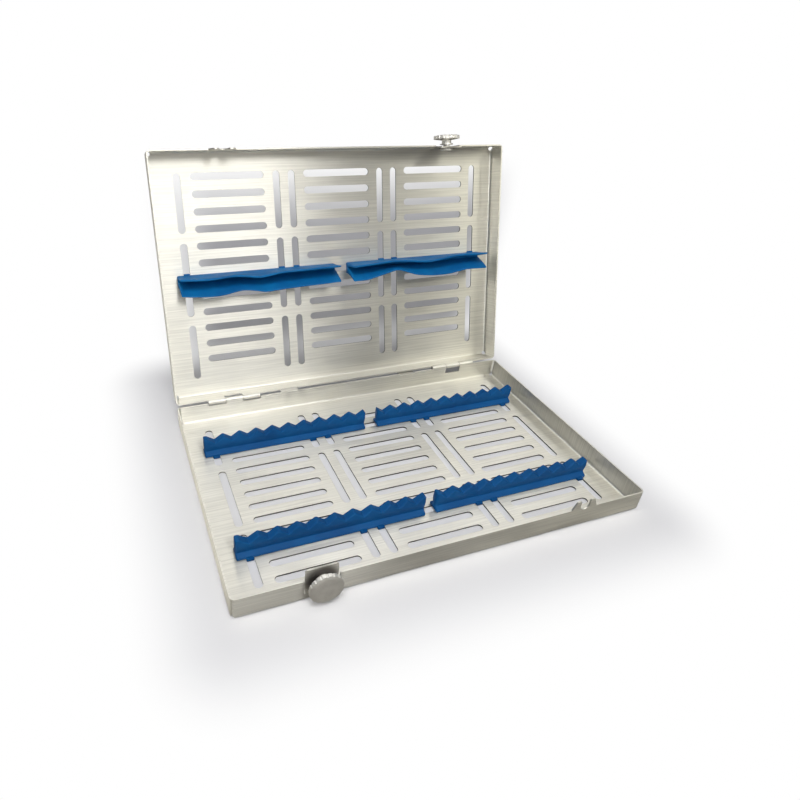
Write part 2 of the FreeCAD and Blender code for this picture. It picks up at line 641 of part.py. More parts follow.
def thumb_knob(name, place):
    """The mushroom knob: turned round its axis from one half section, then fluted round its rim."""
    body = body_named(name)
    section = sketch_on(body, name + "_section", "XY_Plane")
    bore = "(stud_radius + stud_clearance)"
    rim_back = "(neck_length + cone_length)"
    rim_front = f"({rim_back} + knob_rim)"
    face = f"({rim_front} + dome_height)"
    outline(section, (
        (bore, "0"),
        ("neck_radius", "0"),
        ("neck_radius", "-neck_length"),
        ("knob_radius", f"-{rim_back}"),
        ("knob_radius", f"-{rim_front}"),
        ("knob_radius - dome_shoulder", f"-{face} + dome_crown"),
        ("dome_flat", f"-{face}"),
        ("0", f"-{face}"),
        ("0", f"-{face} + knob_skin"),
        (bore, f"-{face} + knob_skin"),
    ))
    turned = body.newObject("PartDesign::Revolution", name + "_turned")
    turned.Profile = section
    turned.ReferenceAxis = (section, ["V_Axis"])
    turned.Angle = 360
    flute = sketch_on(body, name + "_flute", "XZ_Plane")
    circle = flute.addGeometry(Part.Circle(Vector(0, value("knob_radius"), 0), Vector(0, 0, 1),
                                           value("flute_radius")), False)
    index = flute.addConstraint(Sketcher.Constraint("Radius", circle, value("flute_radius")))
    bind(flute, f"Constraints[{index}]", "flute_radius")
    fix_point(flute, circle, 3, "0", "knob_radius + flute_radius - flute_depth")
    flute_cut = pocket(body, name + "_flute_cut", flute, f"2 * {face}", both_ways=True)
    flutes = body.newObject("PartDesign::PolarPattern", name + "_flutes")
    flutes.Originals = [flute_cut]
    flutes.Axis = (flute, ["N_Axis"])
    flutes.Angle = 360
    bind(flutes, "Occurrences", "flute_count")
    body.Tip = flutes
    doc.recompute()
    if not flutes.Shape.Volume < flute_cut.Shape.Volume < turned.Shape.Volume:
        raise RuntimeError(f"{name}: a flute cut nothing")
    seat = "-cassette_depth / 2 - clamp_gap - washer_thickness"
    spot = f"placement(vector({LATCH_X}; {seat}; {STUD_Z}); rotation(vector(0; 0; 1); 0))"
    put(body, f"{place} * {spot}")
    return body


pieces = [steel_half("tray_shell", TRAY_PLACE), steel_half("lid_shell", LID_PLACE)]
for row_name, row_sign in (("rear", 1), ("front", -1)):
    for side_name, side in (("left", -1), ("right", 1)):
        pieces.append(rail(f"{row_name}_{side_name}_rail", side, row_sign))
# The lid's own frame is turned over, so its left is the tray's right
for side_name, side in (("right", -1), ("left", 1)):
    pieces.append(lid_strip(f"lid_{side_name}_strip", side))
for side_name, side in (("left", -1), ("right", 1)):
    pieces.append(hinge_pin(f"{side_name}_hinge_pin", side))
for half_name, half_place in (("tray", TRAY_PLACE), ("lid", LID_PLACE)):
    pieces.append(latch_stud(f"{half_name}_latch_stud", half_place))
    pieces.append(clamp_washer(f"{half_name}_clamp_washer", half_place))
    pieces.append(thumb_knob(f"{half_name}_thumb_knob", half_place))

doc.recompute()
for thing in doc.Objects:
    if any(state in FAILED_STATES for state in thing.State):
        raise RuntimeError(f"{thing.Name} did not build: {thing.State}")
for piece in pieces:
    if piece.Shape.isNull() or not piece.Shape.isValid() or len(piece.Shape.Solids) != 1:
        raise RuntimeError(f"{piece.Label} is not one valid solid")

os.makedirs("parts", exist_ok=True)
for piece in pieces:
    piece.Shape.exportStep(f"parts/{piece.Label}.step")
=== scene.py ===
import math

import bmesh
import bpy
import numpy as np
from mathutils import Matrix, Vector


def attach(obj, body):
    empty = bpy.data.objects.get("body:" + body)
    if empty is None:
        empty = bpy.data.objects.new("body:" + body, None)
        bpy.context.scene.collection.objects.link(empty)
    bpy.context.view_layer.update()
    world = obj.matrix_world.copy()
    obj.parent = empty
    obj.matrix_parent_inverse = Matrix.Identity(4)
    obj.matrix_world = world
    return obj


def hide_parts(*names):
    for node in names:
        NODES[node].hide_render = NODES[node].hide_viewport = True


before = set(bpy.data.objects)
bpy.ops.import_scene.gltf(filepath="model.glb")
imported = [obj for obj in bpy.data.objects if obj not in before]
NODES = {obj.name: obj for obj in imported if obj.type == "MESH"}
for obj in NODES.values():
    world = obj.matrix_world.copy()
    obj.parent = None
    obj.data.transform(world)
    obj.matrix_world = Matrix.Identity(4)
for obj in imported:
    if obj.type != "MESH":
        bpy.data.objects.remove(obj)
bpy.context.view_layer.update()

MM = 0.001

# Sizes shared with the solids, in mm
ROW_PITCH = 12.1
FLOOR_MIDDLE = -ROW_PITCH / 2
HALF_DEPTH = 90.0
HALF_HEIGHT = 15.5
SHEET = 1.0
OPEN_ANGLE = math.radians(106)
AXIS_Y = HALF_DEPTH + 0.8
AXIS_Z = HALF_HEIGHT + 0.15
RAIL_ROW = 4 * ROW_PITCH
SOFT_START = 5.3
GROOVES = 10
SOFT_LENGTH = GROOVES * ROW_PITCH
SOFT_BASE = SHEET + 0.3
PLUG_X = (36.2, 48.0, 120.4)
STUD = (-89.0, -91.2, 13.4)

# Camera fitted to the photograph: its place in mm from the floor's middle, angles in degrees, its focal length and
# shifts in pixels; then the sensor's width in mm and the nearest that it sees in metres
CAMERA_PLACE = (-177.088, -293.982, 281.927)
CAMERA_YAW, CAMERA_PITCH, CAMERA_ROLL = 23.02, -31.951, 4.179
IMAGE_SIDE = 800
FOCAL_LENGTH = 607.454
SHIFT_ACROSS, SHIFT_UP = 64.79, -22.535
SENSOR_WIDTH = 36
NEAREST = 0.01

# Noise is used between these two readings
NOISE_LOW, NOISE_HIGH = 0.3, 0.7

# Below, noises are (scale, detail), bumps are (strength, distance in metres) and tones run from dark to light

# Brushed sheet; its grain and scratches also say how much the noise is drawn out
GRAIN = (1000, 4, 0.02)
SCRATCHES = (1700, 2, 0.012)
SHEET_CLOUDS = (9, 5)
SHEET_WAVES = (16, 2)
WAVES_STRETCH = (1, 0.35, 0.35)
SCRATCHES_BUMP = (0.22, 0.00006)
WAVES_BUMP = (0.4, 0.0008)
QUARTER_TURN = 0.25
STEEL_TONES = ((0.74, 0.725, 0.66), (0.88, 0.865, 0.80))
GRAIN_TONES = ((0.80, 0.80, 0.80), (1.0, 1.0, 1.0))
STEEL_ROUGHNESS = (0.325, 0.375)
GRAIN_ROUGHNESS = (-0.045, 0.05)
SIDE_FACING = 0.7            # normals beyond this belong to the folded side walls
CUT_FACING = 0.3             # normals within this of the sheet's plane belong to cut edges
CUT_LEVEL = 1.02 * SHEET * MM
CUT_REACH = 0.136            # slots lie within this of the middle
# painted shade: the colour of the slots' cut walls, standing in for the shade in and under the slots
CUT_SHADE_PAINT = (0.16, 0.155, 0.14, 1)
# painted shade behind the knob: the sheet's colour darkens towards the stud, between two distances from it in metres;
# so much of the sheet's own colour is left at the stud
GAP_SHADE_PAINT = (0.10, 0.09, 0.085, 1)
GAP_NEAR, GAP_FAR, GAP_LEAST = 0.007, 0.0135, 0.10

# Turned steel
TURNED_CLOUDS = (160, 4)
TURNED_MARKS = (900, 3)
MARKS_STRETCH = (1, 1, 0.2)
MARKS_BUMP = (0.15, 0.00004)
TURNED_TONES = ((0.80, 0.785, 0.74), (0.93, 0.915, 0.87))
TURNED_ROUGHNESS, KNOB_ROUGHNESS = 0.36, 0.44
SMOOTHER, ROUGHER = 0.04, 0.07

# Silicone
SOFT_CLOUDS = (60, 4)
SOFT_CLOUDS_HIGH = 0.72
SOFT_SKIN = (2600, 2)
SOFT_SWIRL = (220, 3)
SWIRL_STRETCH = (0.25, 1, 1)
SKIN_BUMP = (0.12, 0.00005)
SWIRL_BUMP = (0.15, 0.0002)
SOFT_ROUGHNESS = (0.48, 0.60)
SOFT_SPECULAR = 0.15
SCATTER, SCATTER_RADIUS = 0.05, (0.001, 0.002, 0.004)
RAIL_BLUES = ((0.0005, 0.065, 0.22), (0.001, 0.09, 0.28))
STRIP_BLUES = ((0.0006, 0.10, 0.30), (0.001, 0.15, 0.40))

# The floor, in metres
PAPER = (0.86, 0.86, 0.88, 1)
PAPER_ROUGHNESS, PAPER_SPECULAR = 0.95, 0.1
# painted reflection: the colours that only the steel's reflections see on the floor, dim or bright by place, standing
# in for a darker and lighter room
MIRRORED_DIM = (0.26, 0.25, 0.235, 1)
MIRRORED_BRIGHT = (1.0, 0.97, 0.90, 1)
# painted reflection, where the steel sees it bright: a direction, and where along it the change starts and ends
BRIGHT_LEFT = ((-0.9, 0.43, 0), 0.075, 0.105)
BRIGHT_AHEAD = ((0, -1, 0), 0.15, 0.28)
BRIGHT_FRONT_LEFT = ((-0.891, -0.454, 0), -0.10, -0.05)
# the tray's outline, and how far outside it the floor has faded to white
OUTLINE_MIDDLE = (0, 0.02, 0)
OUTLINE_HALF = (0.14, 0.125, 0)
FADE_REACH = 0.055
# the fan of painted shadow on the floor behind the lid: its tip lies in front, and its half width is a share of the
# distance to it
FAN_TIP = 0.3
FAN_SLOPE, FAN_OFFSET = 0.43, -0.177
FAN_EDGE = (0.365, 0.24)
FAN_START = (0.08, 0.24)
FAN_STOP = (0.95, 0.45)
FAN_SHADOW_TONES = ((0.15, (0.60, 0.60, 0.62)), (0.30, (0.53, 0.53, 0.55)), (0.50, (0.60, 0.60, 0.63)),
             (0.66, (0.78, 0.78, 0.80)))
FLOOR_HALF = 4.0
FLOOR_DROP = 0.0002

# The room around, in front and behind
ROOM_FRONT = (0.23, 0.228, 0.222)
ROOM_BACK = (0.26, 0.26, 0.27)
WHITE = (1, 1, 1, 1)

# Soft lights: name, degrees to the right of the front, degrees up, distance, width, height, radiance, colour,
# and whether steel mirrors it and matt surfaces are lit by it
LIGHTS = (
    ("window", -20, 30, 1.6, 2.8, 1.25, 0.9, (1, 0.99, 0.97), False, True),
    ("main", -18, 47, 1.6, 2.0, 0.42, 7.0, (1, 0.995, 0.98), True, False),
    ("low_window", -4, 32, 1.6, 1.1, 0.40, 1.6, (1, 0.99, 0.96), True, False),
    ("side", 53, 34, 1.6, 0.6, 0.9, 2.5, (1, 0.975, 0.84), True, False),
    ("ceiling", 45, 66, 1.5, 1.8, 1.4, 0.85, (1, 0.99, 0.97), True, False),
    ("back_ceiling", 170, 62, 1.5, 2.6, 1.3, 0.9, (1, 0.99, 0.97), True, False),
    ("key", -28, 64, 1.5, 0.6, 0.6, 10.5, (1, 1, 1), False, True),
)
LIGHTS_AIM = 0.08            # they point this far above the floor

# Rails: one half of the cross-section as (out from the middle, up from the foot, rounding), in mm
RAIL_PROFILE = ((4.9, 0, 0.5), (4.9, 1.7, 0.6), (2.1, 3.3, 0.4), (1.9, 3.9, 0.4), (2.35, 5.4, 0.8),
                (3.0, 8.6, 1.2))
CORNER_SHARE = 0.45          # a rounding takes at most this share of an edge
CREST_ROUNDING = 0.7
CREST_TAPER = 0.08
GROOVE_DEPTH = 4.2
GROOVE_LAND = 0.7
GROOVE_BLUR = 0.8
BLUR_TAPS = 9
RAIL_STEPS = 250
RAIL_END_ROUNDING = 0.5
SWAY, SWAY_RATE, SWAY_HEIGHT = 0.18, 0.07, 14
RAIL_PLUG_LENGTH, RAIL_PLUG_RISE = 12.6, 1.0
# how far the photograph shows each rail reach past its grooves at its left and its right end, in mm; -1.0 stops short
RAIL_ENDS = {("rear", "left"): (1.8, 0), ("rear", "right"): (0, 1.4), ("front", "left"): (2.0, 1.0),
             ("front", "right"): (1.4, -1.0)}

# Plugs of the rails and strips, in mm
PLUG_HALF = 2.3
PLUG_BOTTOM = 0.2
PLUG_ROUNDING = (0.6, 0.6, 0.1, 0.1)
PLUG_ENDS = ((0, 0.5), (0.15, 0.15), (0.5, 0))    # (distance from the end, how far it pulls in)

# Strips, in mm: heights above the sheet, and the foot's sides
STRIP_ROOT = SHEET + 3.0
FRONT_TIP = SHEET + 18.0
REAR_TIP = SHEET + 16.8
STRIP_FRONT, STRIP_REAR, STRIP_BEVEL = -4.1, 4.7, 0.5
# the lips' crests as (out, up) from their tips, the valley as (y, up from the root), and how far the faces bow
FRONT_CREST = ((0, -0.4), (0.35, 0), (1.0, 0), (1.35, -0.4))
REAR_CREST = ((-1.4, -0.5), (-1.0, 0), (-0.3, 0.1), (0, -0.4))
VALLEY = ((-1.2, 0.5), (-0.6, 0), (0.0, 0.4))
FACE_BOWS = (0.5, -0.4, -0.9, 1.2)
FRONT_LIP_AHEAD = 0.6        # the front lip's crest starts this far in front of the line given below
STRIP_STEPS = 150
LIP_STEPS = 8
STRIP_END_ROUNDING = 0.35
STRIP_PLUG_LENGTH, STRIP_PLUG_RISE = 10.2, 1.6
# tips of the strips' lips where the photograph shows them, as (x, y) in mm on the blank
LIPS = {
    "left": {
        "rear": ((-127.8, 9.1), (-119.1, 10.2), (-110.6, 10.8), (-101.9, 11.0), (-94.8, 10.3), (-89.4, 9.3),
                 (-83.9, 8.5), (-79.5, 8.7), (-73.2, 9.6), (-66.0, 11.0), (-56.6, 10.6), (-47.2, 10.1),
                 (-37.6, 9.7), (-27.9, 9.5), (-18.1, 9.2), (-5.1, 8.7)),
        "front": ((-128.4, -2.8), (-118.0, -2.1), (-109.5, -1.7), (-100.9, -2.0), (-92.1, -2.7), (-86.0, -2.8),
                  (-78.0, -1.7), (-70.0, -0.6), (-62.7, -1.3), (-53.3, -2.6), (-37.4, -3.0), (-22.9, -3.3),
                  (-11.2, -3.6)),
    },
    "right": {
        "rear": ((7.8, 9.5), (17.2, 9.3), (26.8, 7.3), (36.6, 5.1), (42.4, 3.8), (48.3, 4.7), (54.3, 6.7),
                 (61.3, 8.8), (74.6, 10.4), (82.8, 10.6), (92.3, 10.3), (100.7, 9.1), (108.1, 8.1), (119.0, 8.2),
                 (128.8, 8.4)),
        "front": ((0.1, -1.7), (12.2, -2.3), (26.4, -3.2), (41.8, -3.9), (55.6, -2.9), (65.6, -1.8), (75.7, -1.7),
                  (86.0, -3.0), (96.3, -4.2), (106.9, -4.5), (116.5, -4.2)),
    },
}
# how far the photograph shows each strip reach past its nominal ends, in mm
STRIP_ENDS = {"left": (1.2, 0.0), "right": (0.0, 1.0)}


def on_lid(x, y, z):
    """A point of the flat-lying blank, in mm, on the open lid, in metres."""
    along = y * math.cos(OPEN_ANGLE) - z * math.sin(OPEN_ANGLE)
    up = -y * math.sin(OPEN_ANGLE) - z * math.cos(OPEN_ANGLE)
    back = FLOOR_MIDDLE + AXIS_Y - AXIS_Y * math.cos(OPEN_ANGLE) + AXIS_Z * math.sin(OPEN_ANGLE)
    rise = AXIS_Z + AXIS_Y * math.sin(OPEN_ANGLE) + AXIS_Z * math.cos(OPEN_ANGLE)
    return Vector((-x, along + back, up + rise)) * MM


def on_tray(x, y, z):
    """A point of the tray, in mm from its middle, in metres."""
    return Vector((x, y + FLOOR_MIDDLE, z)) * MM


def place_camera():
    yaw, pitch, roll = (math.radians(angle) for angle in (CAMERA_YAW, CAMERA_PITCH, CAMERA_ROLL))
    ahead = Vector((math.sin(yaw) * math.cos(pitch), math.cos(yaw) * math.cos(pitch), math.sin(pitch)))
    level = Vector((math.cos(yaw), -math.sin(yaw), 0))
    top = level.cross(ahead)
    right = math.cos(roll) * level + math.sin(roll) * top
    up = -math.sin(roll) * level + math.cos(roll) * top
    data = bpy.data.cameras.new("camera")
    data.sensor_width = SENSOR_WIDTH
    data.lens = FOCAL_LENGTH * SENSOR_WIDTH / IMAGE_SIDE
    data.shift_x = SHIFT_ACROSS / IMAGE_SIDE
    data.shift_y = SHIFT_UP / IMAGE_SIDE
    data.clip_start = NEAREST
    camera = bpy.data.objects.new("camera", data)
    turn = Matrix((right, up, -ahead)).transposed().to_4x4()
    camera.matrix_world = Matrix.Translation(on_tray(*CAMERA_PLACE)) @ turn
    bpy.context.collection.objects.link(camera)
    bpy.context.scene.camera = camera


# Materials

class Nodes:
    """A short way to write the node tree of a material or a world."""

    def __init__(self, owner):
        owner.use_nodes = True
        self.owner = owner
        self.tree = owner.node_tree
        self.shader = self.tree.nodes.get("Principled BSDF")

    def set(self, node, inputs):
        """Links each socket and writes each plain value."""
        for key, source in inputs.items():
            if isinstance(source, bpy.types.NodeSocket):
                self.tree.links.new(source, node.inputs[key])
            else:
                node.inputs[key].default_value = source

    def add(self, kind, inputs=None, **settings):
        node = self.tree.nodes.new("ShaderNode" + kind)
        for key, amount in settings.items():
            setattr(node, key, amount)
        self.set(node, inputs or {})
        return node

    def math(self, operation, *values):
        return self.add("Math", dict(enumerate(values)), operation=operation).outputs["Value"]

    def vector(self, operation, *values):
        return self.add("VectorMath", dict(enumerate(values)), operation=operation).outputs["Vector"]

    def measure(self, operation, *values):
        """A vector operation that gives a number."""
        return self.add("VectorMath", dict(enumerate(values)), operation=operation).outputs["Value"]

    def mix(self, factor, first, second, **settings):
        return self.add("Mix", {"Factor": factor, "A": first, "B": second}, data_type="RGBA",
                        **settings).outputs["Result"]

    def fade(self, source, start, end, low=0.0):
        """A soft step from low up to 1."""
        return self.add("MapRange", {"Value": source, "From Min": start, "From Max": end, "To Min": low},
                        interpolation_type="SMOOTHSTEP").outputs["Result"]

    def places(self, kind="Object"):
        return self.add("TexCoord").outputs[kind]

    def noise(self, scale, detail, stretch=(1, 1, 1), turn=(0, 0, 0)):
        """Noise over object coordinates, stretched."""
        where = self.add("Mapping", {"Vector": self.places(), "Scale": stretch, "Rotation": turn}).outputs["Vector"]
        return self.add("TexNoise", {"Vector": where, "Scale": scale, "Detail": detail}).outputs["Fac"]

    def ramp(self, source, stops):
        node = self.add("ValToRGB", {"Fac": source})
        marks = node.color_ramp.elements
        while len(marks) < len(stops):
            marks.new(0.5)
        for mark, (place, colour) in zip(marks, stops):
            mark.position = place
            mark.color = (*colour, 1)
        return node.outputs["Color"]

    def tones(self, source, dark, light, high=NOISE_HIGH):
        """Colours for a noise."""
        return self.ramp(source, ((NOISE_LOW, dark), (high, light)))

    def between(self, source, low, high):
        """A noise brought between two values."""
        return self.add("MapRange", {"Value": source, "From Min": NOISE_LOW, "From Max": NOISE_HIGH, "To Min": low,
                                     "To Max": high}).outputs["Result"]

    def on_side_wall(self):
        """1 on the two folded side walls, else 0."""
        across = self.add("SeparateXYZ", {"Vector": self.places("Normal")}).outputs["X"]
        return self.math("GREATER_THAN", self.math("ABSOLUTE", across), SIDE_FACING)

    def brushed(self, lean, scale, detail, squeeze):
        """Noise drawn out along the grain: along X, and up and down on the side walls."""
        where = self.places()
        side = self.on_side_wall()
        parts = []
        for axis, elsewhere, there in (((1, 0, 0), squeeze, 1.0),
                                       ((0, math.cos(lean), -math.sin(lean)), 1.0, 1.0),
                                       ((0, -math.sin(lean), -math.cos(lean)), 1.0, squeeze)):
            share = self.add("MapRange", {"Value": side, "To Min": elsewhere, "To Max": there}).outputs["Result"]
            parts.append(self.math("MULTIPLY", self.measure("DOT_PRODUCT", where, axis), share))
        place = self.add("CombineXYZ", dict(zip("XYZ", parts))).outputs["Vector"]
        return self.add("TexNoise", {"Vector": place, "Scale": scale, "Detail": detail}).outputs["Fac"]

    def grain_direction(self, lean):
        """The way the sheet is brushed, in world space."""
        along = self.add("Mix", {"Factor": self.on_side_wall(), "A": (1, 0, 0),
                                 "B": (0, -math.sin(lean), -math.cos(lean))}, data_type="VECTOR").outputs["Result"]
        return self.add("VectorTransform", {"Vector": along}, convert_from="OBJECT", convert_to="WORLD",
                        vector_type="VECTOR").outputs["Vector"]

    def bump(self, source, strength, distance, before=None):
        inputs = {"Height": source, "Strength": strength, "Distance": distance}
        if before:
            inputs["Normal"] = before
        return self.add("Bump", inputs).outputs["Normal"]


def material_nodes(name):
    return Nodes(bpy.data.materials.new(name))


def steel(name, lean, floor_at, stud):
    """Satin-brushed sheet: long fine scratches, faint clouds, slightly uneven flatness, and painted shade on the
    slots' cut edges and behind the knob.
    """
    m = material_nodes(name)
    turn = (lean, 0, 0)
    clouds = m.noise(*SHEET_CLOUDS, turn=turn)
    grain = m.brushed(lean, *GRAIN)
    scratches = m.brushed(lean, *SCRATCHES)
    waves = m.noise(*SHEET_WAVES, stretch=WAVES_STRETCH, turn=turn)
    tone = m.mix(1.0, m.tones(clouds, *STEEL_TONES), m.tones(grain, *GRAIN_TONES), blend_type="MULTIPLY")

    # the punched walls of the slots lie in the floor sheet and face along it
    up = (0, -math.sin(lean), -math.cos(lean)) if lean else (0, 0, 1)
    where = m.places()
    in_floor = m.math("LESS_THAN", m.measure("DOT_PRODUCT", where, up), floor_at + CUT_LEVEL)
    facing = m.math("ABSOLUTE", m.measure("DOT_PRODUCT", m.places("Normal"), up))
    upright = m.math("LESS_THAN", facing, CUT_FACING)
    across = m.math("ABSOLUTE", m.add("SeparateXYZ", {"Vector": where}).outputs["X"])
    inner = m.math("LESS_THAN", across, CUT_REACH)
    cut = m.math("MULTIPLY", m.math("MULTIPLY", in_floor, upright), inner)
    # painted shade: the slots' cut walls are coloured dark, standing in for the shade in and under the slots
    tone = m.mix(cut, tone, CUT_SHADE_PAINT)

    # painted shade: the sheet's colour darkens around the stud, standing in for the shadow in the narrow gap behind
    # the knob
    unshaded_share = m.fade(m.measure("DISTANCE", where, tuple(stud)), GAP_NEAR, GAP_FAR, GAP_LEAST)
    tone = m.mix(unshaded_share, GAP_SHADE_PAINT, tone)

    roughness = m.math("ADD", m.between(clouds, *STEEL_ROUGHNESS), m.between(grain, *GRAIN_ROUGHNESS))
    m.set(m.shader, {"Base Color": tone, "Metallic": 1.0, "Roughness": roughness, "Anisotropic": 1.0,
                     "Anisotropic Rotation": QUARTER_TURN, "Tangent": m.grain_direction(lean),
                     "Normal": m.bump(scratches, *SCRATCHES_BUMP, m.bump(waves, *WAVES_BUMP))})
    return m.owner


def turned_steel(name, roughness):
    """Lathe-turned steel with faint clouds and small marks."""
    m = material_nodes(name)
    clouds = m.noise(*TURNED_CLOUDS)
    marks = m.noise(*TURNED_MARKS, stretch=MARKS_STRETCH)
    m.set(m.shader, {"Base Color": m.tones(clouds, *TURNED_TONES), "Metallic": 1.0,
                     "Roughness": m.between(marks, roughness - SMOOTHER, roughness + ROUGHER),
                     "Normal": m.bump(marks, *MARKS_BUMP)})
    return m.owner


def silicone(name, deep, light):
    """Moulded silicone: nearly even colour, soft sheen and a fine matt texture."""
    m = material_nodes(name)
    clouds = m.noise(*SOFT_CLOUDS)
    skin = m.noise(*SOFT_SKIN)
    swirl = m.noise(*SOFT_SWIRL, stretch=SWIRL_STRETCH)
    m.set(m.shader, {"Base Color": m.tones(clouds, deep, light, high=SOFT_CLOUDS_HIGH),
                     "Roughness": m.between(swirl, *SOFT_ROUGHNESS), "Specular IOR Level": SOFT_SPECULAR,
                     "Subsurface Weight": SCATTER, "Subsurface Radius": SCATTER_RADIUS,
                     "Normal": m.bump(skin, *SKIN_BUMP, m.bump(swirl, *SWIRL_BUMP))})
    return m.owner


def floor_material():
    """White paper that fades into the backdrop, with a painted shadow behind the lid. Steel sees it greyer in places,
    a painted reflection.
    """
    m = material_nodes("pale_floor")
    path = m.add("LightPath").outputs
    where = m.places()

    def beyond(direction, start, end):
        return m.fade(m.measure("DOT_PRODUCT", where, direction), start, end)

    # painted reflection: the floor's colour as the steel mirrors it, dim or bright by place
    ahead = m.math("MULTIPLY", beyond(*BRIGHT_AHEAD), beyond(*BRIGHT_FRONT_LEFT))
    bright = m.math("MAXIMUM", beyond(*BRIGHT_LEFT), ahead)
    mirrored = m.mix(bright, MIRRORED_DIM, MIRRORED_BRIGHT)

    # how far a point lies outside the tray's outline
    folded = m.vector("ABSOLUTE", m.vector("SUBTRACT", where, OUTLINE_MIDDLE))
    outside = m.vector("MAXIMUM", m.vector("SUBTRACT", folded, OUTLINE_HALF), (0, 0, 0))
    far = m.fade(m.measure("LENGTH", outside), 0.0, FADE_REACH)

    # how deep it lies inside the fan of painted shadow
    parts = m.add("SeparateXYZ", {"Vector": where}).outputs
    back = m.math("ADD", parts["Y"], FAN_TIP)
    middle = m.math("MULTIPLY_ADD", back, FAN_SLOPE, FAN_OFFSET)
    spread = m.math("ABSOLUTE", m.math("DIVIDE", m.math("SUBTRACT", parts["X"], middle), back))
    length = m.math("MULTIPLY", m.fade(parts["Y"], *FAN_START), m.fade(parts["Y"], *FAN_STOP))
    shade = m.math("MULTIPLY", m.fade(spread, *FAN_EDGE), length)

    # painted shadow: inside the fan the paper's colour darkens, by distance back from the lid
    paper = m.mix(shade, PAPER, m.ramp(parts["Y"], FAN_SHADOW_TONES))
    m.set(m.shader, {"Base Color": m.mix(path["Is Glossy Ray"], paper, mirrored), "Roughness": PAPER_ROUGHNESS,
                     "Specular IOR Level": PAPER_SPECULAR})
    away = m.math("MULTIPLY", far, m.math("SUBTRACT", 1.0, shade))
    glow = m.add("Emission", {"Color": WHITE, "Strength": 1.0})
    blend = m.add("MixShader", {"Fac": m.math("MULTIPLY", path["Is Camera Ray"], away),
                                1: m.shader.outputs["BSDF"], 2: glow.outputs["Emission"]})
    m.set(m.tree.nodes["Material Output"], {"Surface": blend.outputs["Shader"]})
    return m.owner


def surroundings():
    """White where the camera looks past everything; elsewhere a dim room."""
    m = Nodes(bpy.data.worlds.new("world"))
    bpy.context.scene.world = m.owner
    depth = m.add("SeparateXYZ", {"Vector": m.places("Generated")}).outputs["Y"]
    depth = m.add("MapRange", {"Value": depth, "From Min": -1, "From Max": 1}).outputs["Result"]
    room = m.tree.nodes["Background"]
    m.set(room, {"Color": m.ramp(depth, ((0.0, ROOM_FRONT), (1.0, ROOM_BACK)))})
    seen = m.add("Background", {"Color": WHITE})
    choose = m.add("MixShader", {"Fac": m.add("LightPath").outputs["Is Camera Ray"],
                                 1: room.outputs["Background"], 2: seen.outputs["Background"]})
    m.set(m.tree.nodes["World Output"], {"Surface": choose.outputs["Shader"]})


# Meshes

def mesh_object(name, points, faces, material, smooth=True):
    mesh = bpy.data.meshes.new(name)
    mesh.from_pydata([tuple(p) for p in points], [], faces)
    mesh.update()
    working = bmesh.new()
    working.from_mesh(mesh)
    bmesh.ops.recalc_face_normals(working, faces=working.faces)
    working.to_mesh(mesh)
    working.free()
    mesh.materials.append(material)
    for polygon in mesh.polygons:
        polygon.use_smooth = smooth
    thing = bpy.data.objects.new(name, mesh)
    bpy.context.collection.objects.link(thing)
    return thing


def curve_points(start, middle, end, steps):
    """Points from start to end on a curve that leans towards the middle."""
    return [(1 - t) ** 2 * start + 2 * t * (1 - t) * middle + t ** 2 * end
            for t in (step / steps for step in range(steps + 1))]


def rounded(corners, radii, steps=4):
    """A closed outline with its corners rounded, the same number of points for each corner."""
    outline = []
    count = len(corners)
    for index, (corner, radius) in enumerate(zip(corners, radii)):
        here = np.array(corner, float)
        before = np.array(corners[index - 1], float) - here
        after = np.array(corners[(index + 1) % count], float) - here
        reach = min(radius, CORNER_SHARE * np.linalg.norm(before), CORNER_SHARE * np.linalg.norm(after))
        start = here + before / np.linalg.norm(before) * reach
        end = here + after / np.linalg.norm(after) * reach
        outline += curve_points(start, here, end, steps)
    return outline


def bowed(start, end, bow, steps=LIP_STEPS):
    """Points from start to end on a curve that bows sideways."""
    start, end = np.array(start, float), np.array(end, float)
    side = np.array((end[1] - start[1], start[0] - end[0]))
    side /= np.linalg.norm(side)
    return curve_points(start, (start + end) / 2 + side * bow, end, steps)


def swept(sections, place, first=0):
    """Points and faces of a closed solid through equal cross-sections; each is (x, outline)."""
    points, faces = [], []
    count = len(sections[0][1])
    for x, outline in sections:
        points += [place(x, y, z) for y, z in outline]
    for row in range(len(sections) - 1):
        for column in range(count):
            following = (column + 1) % count
            a, b = first + row * count + column, first + row * count + following
            faces.append((a, b, b + count, a + count))
    last = first + (len(sections) - 1) * count
    faces.append(tuple(range(first, first + count)))
    faces.append(tuple(range(last + count - 1, last - 1, -1)))
    return points, faces


def end_shrink(x, start, end, radius):
    """How much a section pulls in near an end, in mm, for a rounded end."""
    distance = min(x - start, end - x)
    if distance >= radius:
        return 0.0
    return radius - math.sqrt(max(radius ** 2 - (radius - distance) ** 2, 0.0))


def pulled_in(outline, amount):
    """The outline moved inwards by about the amount."""
    if amount <= 0:
        return outline
    points = np.array(outline)
    before = np.roll(points, 1, axis=0)
    after = np.roll(points, -1, axis=0)
    along = after - before
    along /= np.maximum(np.linalg.norm(along, axis=1), 1e-9)[:, None]
    inward = np.stack((-along[:, 1], along[:, 0]), axis=1)
    area = np.sum(points[:, 0] * after[:, 1] - after[:, 0] * points[:, 1])
    if area < 0:
        inward = -inward
    return list(points + inward * amount)


